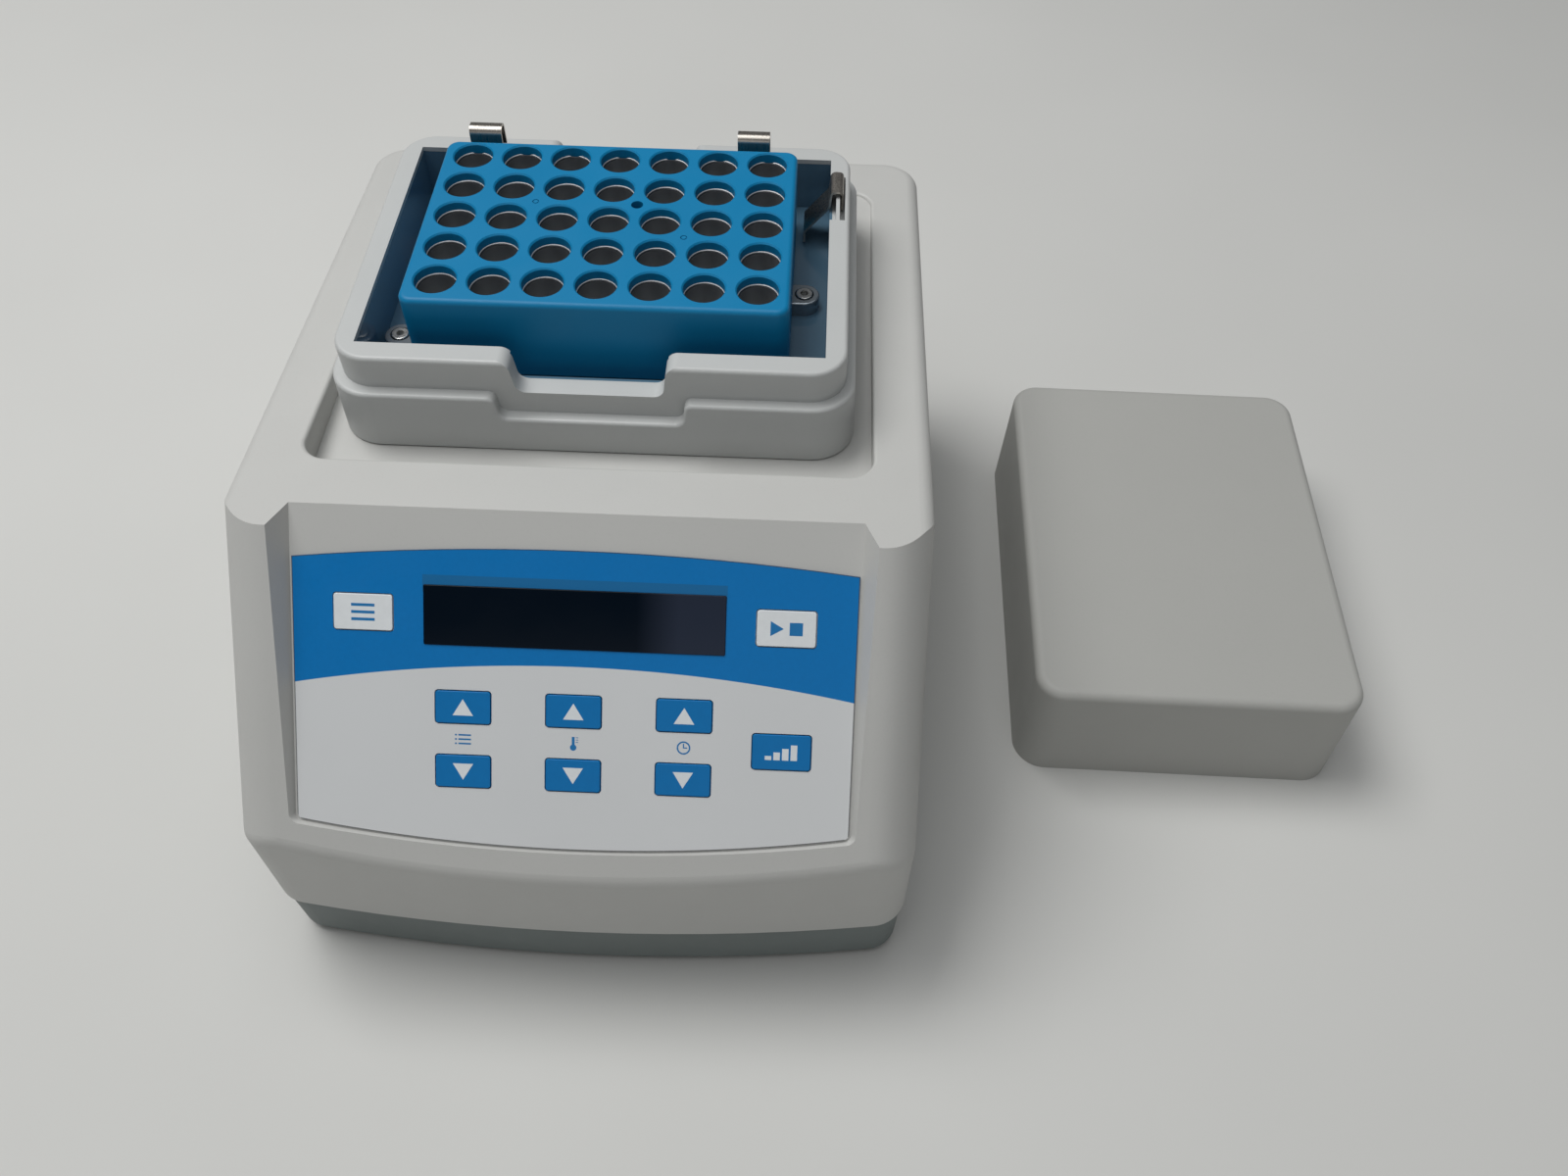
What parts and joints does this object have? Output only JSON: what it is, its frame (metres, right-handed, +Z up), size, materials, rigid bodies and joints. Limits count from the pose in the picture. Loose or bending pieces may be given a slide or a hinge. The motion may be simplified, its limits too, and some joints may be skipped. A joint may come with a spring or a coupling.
{
  "type": "cooling dry block incubator",
  "caption": "Bench-top cooling dry block incubator with a sloping key panel, a tube block with wells in an open chamber, and a loose box lid standing beside it.",
  "frame": {"origin": "centre of the whole footprint (unit and the lid beside it) at table level", "axes": "+X to the right of somebody facing the key panel, +Y to the back, +Z up from the table"},
  "size_m": [0.3682, 0.2726, 0.1738],
  "materials": {
    "housing_grey": "fine textured satin",
    "base_grey": "fine textured satin",
    "collar_grey": "smooth satin",
    "lid_grey": "fine textured matte",
    "cover_blue": "satin",
    "block_metal": "machined, bright",
    "liner_slate": "dark semi-gloss",
    "stainless": "brushed",
    "steel_screw": "satin",
    "overlay_print": "printed film, semi-gloss",
    "key_white": "semi-gloss",
    "key_blue": "semi-gloss",
    "window_black": "polished",
    "rubber_black": "matte",
    "plastic_black": "satin",
    "foam_dark": "closed-cell foam",
    "foam_light": "foam board",
    "sink_metal": "extruded",
    "ceramic": "ceramic",
    "board_green": "circuit board",
    "copper_lead": "insulated lead",
    "brass_pin": "plated",
    "glass_fuse": "clear"
  },
  "bodies": {
    "case": {"board_screws": "steel_screw", "case_screws": "steel_screw", "chamber_collar": "collar_grey", "chamber_insulation": "foam_dark", "chamber_liner": "liner_slate", "clip_rivets": "stainless", "collar_screws": "steel_screw", "control_board": "board_green", "control_overlay": "overlay_print", "display_module": "plastic_black", "display_window": "window_black", "fan_frame": "plastic_black", "fan_screws": "steel_screw", "foot_screws": "steel_screw", "heat_sink": "sink_metal", "inlet_pins": "brass_pin", "inlet_screws": "steel_screw", "lower_housing": "base_grey", "mains_leads": "copper_lead", "panel_board": "board_green", "panel_ribbon": "foam_light", "panel_screws": "steel_screw", "peltier_gasket": "foam_dark", "peltier_modules": "ceramic", "power_inlet": "plastic_black", "power_supply": "board_green", "power_switch_frame": "plastic_black", "rubber_feet": "rubber_black", "sink_hanger": "plastic_black", "stack_screws": "steel_screw", "tactile_switches": "plastic_black", "temperature_sensor": "stainless", "thermal_cutout": "stainless", "thermal_plate": "sink_metal", "upper_housing": "housing_grey"},
    "block": {"tube_block": "block_metal", "block_cover": "cover_blue", "block_screws": "steel_screw"},
    "lid": {"lid_shell": "lid_grey", "lid_insulation": "foam_light"},
    "fan": {"fan_rotor": "plastic_black"},
    "rocker": {"power_switch_rocker": "plastic_black"},
    "fuse_tray": {"fuse_drawer": "plastic_black", "fuses": "glass_fuse"},
    "left_clip": {"rear_left_clip": "stainless"},
    "right_clip": {"rear_right_clip": "stainless"},
    "wall_clip": {"side_clip": "stainless"},
    "option_key_body": {"option_key": "key_white"},
    "start_stop_key_body": {"start_stop_key": "key_white"},
    "multi_step_key_body": {"multi_step_key": "key_blue"},
    "program_up_key_body": {"program_up_key": "key_blue"},
    "program_down_key_body": {"program_down_key": "key_blue"},
    "temp_up_key_body": {"temp_up_key": "key_blue"},
    "temp_down_key_body": {"temp_down_key": "key_blue"},
    "time_up_key_body": {"time_up_key": "key_blue"},
    "time_down_key_body": {"time_down_key": "key_blue"}
  },
  "joints": [
    {"name": "option_key_press", "type": "slide", "parent": "case", "child": "option_key_body", "axis": [0, 0.7242, -0.6896], "range_m": [0, 0.0004], "stiffness_N_per_m": 300},
    {"name": "start_stop_key_press", "type": "slide", "parent": "case", "child": "start_stop_key_body", "axis": [0, 0.7242, -0.6896], "range_m": [0, 0.0004], "stiffness_N_per_m": 300},
    {"name": "multi_step_key_press", "type": "slide", "parent": "case", "child": "multi_step_key_body", "axis": [0, 0.7242, -0.6896], "range_m": [0, 0.0004], "stiffness_N_per_m": 300},
    {"name": "program_up_key_press", "type": "slide", "parent": "case", "child": "program_up_key_body", "axis": [0, 0.7242, -0.6896], "range_m": [0, 0.0004], "stiffness_N_per_m": 300},
    {"name": "program_down_key_press", "type": "slide", "parent": "case", "child": "program_down_key_body", "axis": [0, 0.7242, -0.6896], "range_m": [0, 0.0004], "stiffness_N_per_m": 300},
    {"name": "temp_up_key_press", "type": "slide", "parent": "case", "child": "temp_up_key_body", "axis": [0, 0.7242, -0.6896], "range_m": [0, 0.0004], "stiffness_N_per_m": 300},
    {"name": "temp_down_key_press", "type": "slide", "parent": "case", "child": "temp_down_key_body", "axis": [0, 0.7242, -0.6896], "range_m": [0, 0.0004], "stiffness_N_per_m": 300},
    {"name": "time_up_key_press", "type": "slide", "parent": "case", "child": "time_up_key_body", "axis": [0, 0.7242, -0.6896], "range_m": [0, 0.0004], "stiffness_N_per_m": 300},
    {"name": "time_down_key_press", "type": "slide", "parent": "case", "child": "time_down_key_body", "axis": [0, 0.7242, -0.6896], "range_m": [0, 0.0004], "stiffness_N_per_m": 300},
    {"name": "rocker_tilt", "type": "hinge", "parent": "case", "child": "rocker", "pos_m": [-0.05747, 0.12875, 0.058], "axis": [1, 0, 0], "range_deg": [0, 18]},
    {"name": "fan_spin", "type": "hinge", "parent": "case", "child": "fan", "pos_m": [-0.08146, 0.0352, 0.066], "axis": [0, 0, 1], "continuous": true},
    {"name": "left_clip_flex", "type": "hinge", "parent": "case", "child": "left_clip", "pos_m": [-0.12707, 0.07895, 0.145], "axis": [-1, 0, 0], "range_deg": [0, 4], "stiffness_Nm_per_rad": 0.57},
    {"name": "right_clip_flex", "type": "hinge", "parent": "case", "child": "right_clip", "pos_m": [-0.03796, 0.07895, 0.145], "axis": [-1, 0, 0], "range_deg": [0, 4], "stiffness_Nm_per_rad": 0.57},
    {"name": "wall_clip_flex", "type": "hinge", "parent": "case", "child": "wall_clip", "pos_m": [-0.00976, 0.06865, 0.1649], "axis": [0, -1, 0], "range_deg": [0, 4], "stiffness_Nm_per_rad": 0.4},
    {"name": "block_lift", "type": "slide", "parent": "case", "child": "block", "axis": [0, 0, 1], "range_m": [0, 0.06]},
    {"name": "lid_lift", "type": "slide", "parent": "case", "child": "lid", "axis": [0, 0, 1], "range_m": [0, 0.12]},
    {"name": "fuse_tray_pull", "type": "slide", "parent": "case", "child": "fuse_tray", "axis": [0, 1, 0], "range_m": [0, 0.025]}
  ]
}
